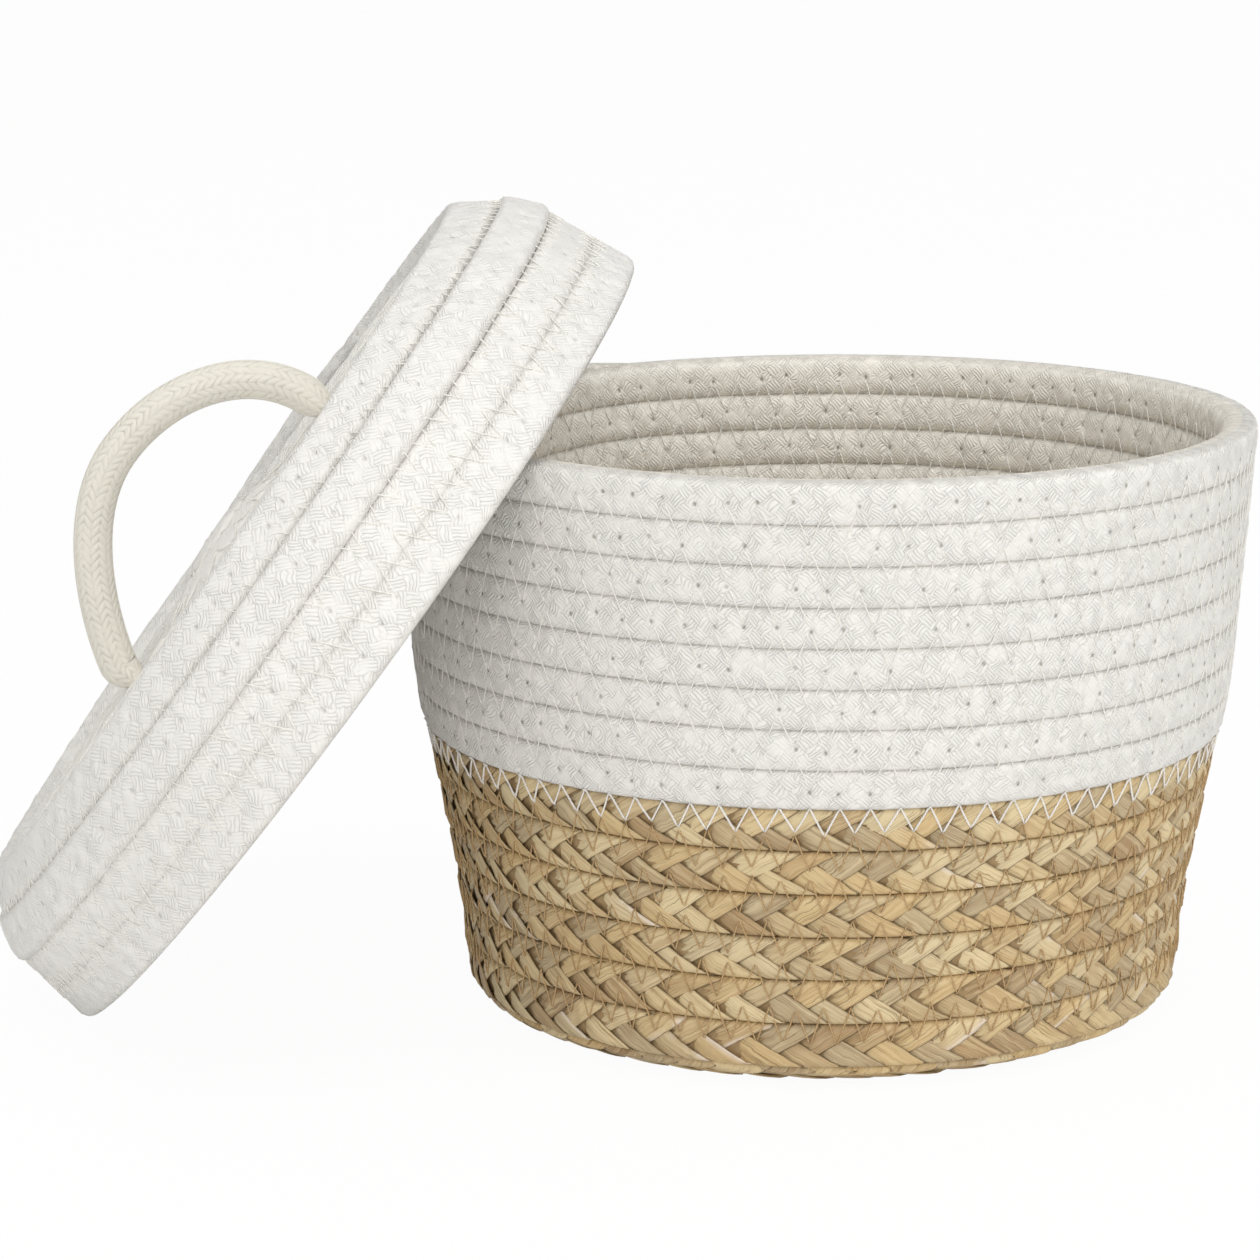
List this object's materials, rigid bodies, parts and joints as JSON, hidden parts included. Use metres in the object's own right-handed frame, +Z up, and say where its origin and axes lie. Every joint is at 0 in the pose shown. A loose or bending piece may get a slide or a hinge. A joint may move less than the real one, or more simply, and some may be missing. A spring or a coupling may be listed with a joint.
{
  "type": "knitting basket",
  "caption": "Round lidded knitting basket with a straw-braid lower wall, a coiled cotton-rope upper wall and a rope lid with a rope handle, the lid leaning on the basket.",
  "frame": {"origin": "middle of the basket's flat underside, on the floor", "axes": "+Z up along the basket's axis, +X to the viewer's right with the lid leaning at -X, +Y away from the viewer"},
  "size_m": [0.3286, 0.2423, 0.2094],
  "materials": {
    "straw_braid": "dry tan straw, plaited",
    "cotton_rope": "soft off-white cotton rope",
    "lid_rope": "soft white cotton rope",
    "handle_rope": "soft cream cotton rope",
    "white_thread": "white sewing thread"
  },
  "bodies": {
    "basket": {"base_braid": "straw_braid", "wall_braid": "straw_braid", "wall_rope": "cotton_rope", "seam_thread": "white_thread"},
    "lid": {"lid_wall_coil": "lid_rope", "lid_top_coil": "lid_rope", "handle_end_upper": "handle_rope", "handle_end_lower": "handle_rope"},
    "handle": {"handle_rope": "handle_rope"}
  },
  "joints": [
    {"name": "lid_lift", "type": "slide", "parent": "basket", "child": "lid", "axis": [-0.8007, 0, 0.599], "range_m": [0, 0.15]},
    {"name": "handle_fold", "type": "hinge", "parent": "lid", "child": "handle", "pos_m": [-0.15953, 0, 0.12348], "axis": [0.5792, 0, 0.8152], "range_deg": [-70, 70], "stiffness_Nm_per_rad": 0.02}
  ]
}
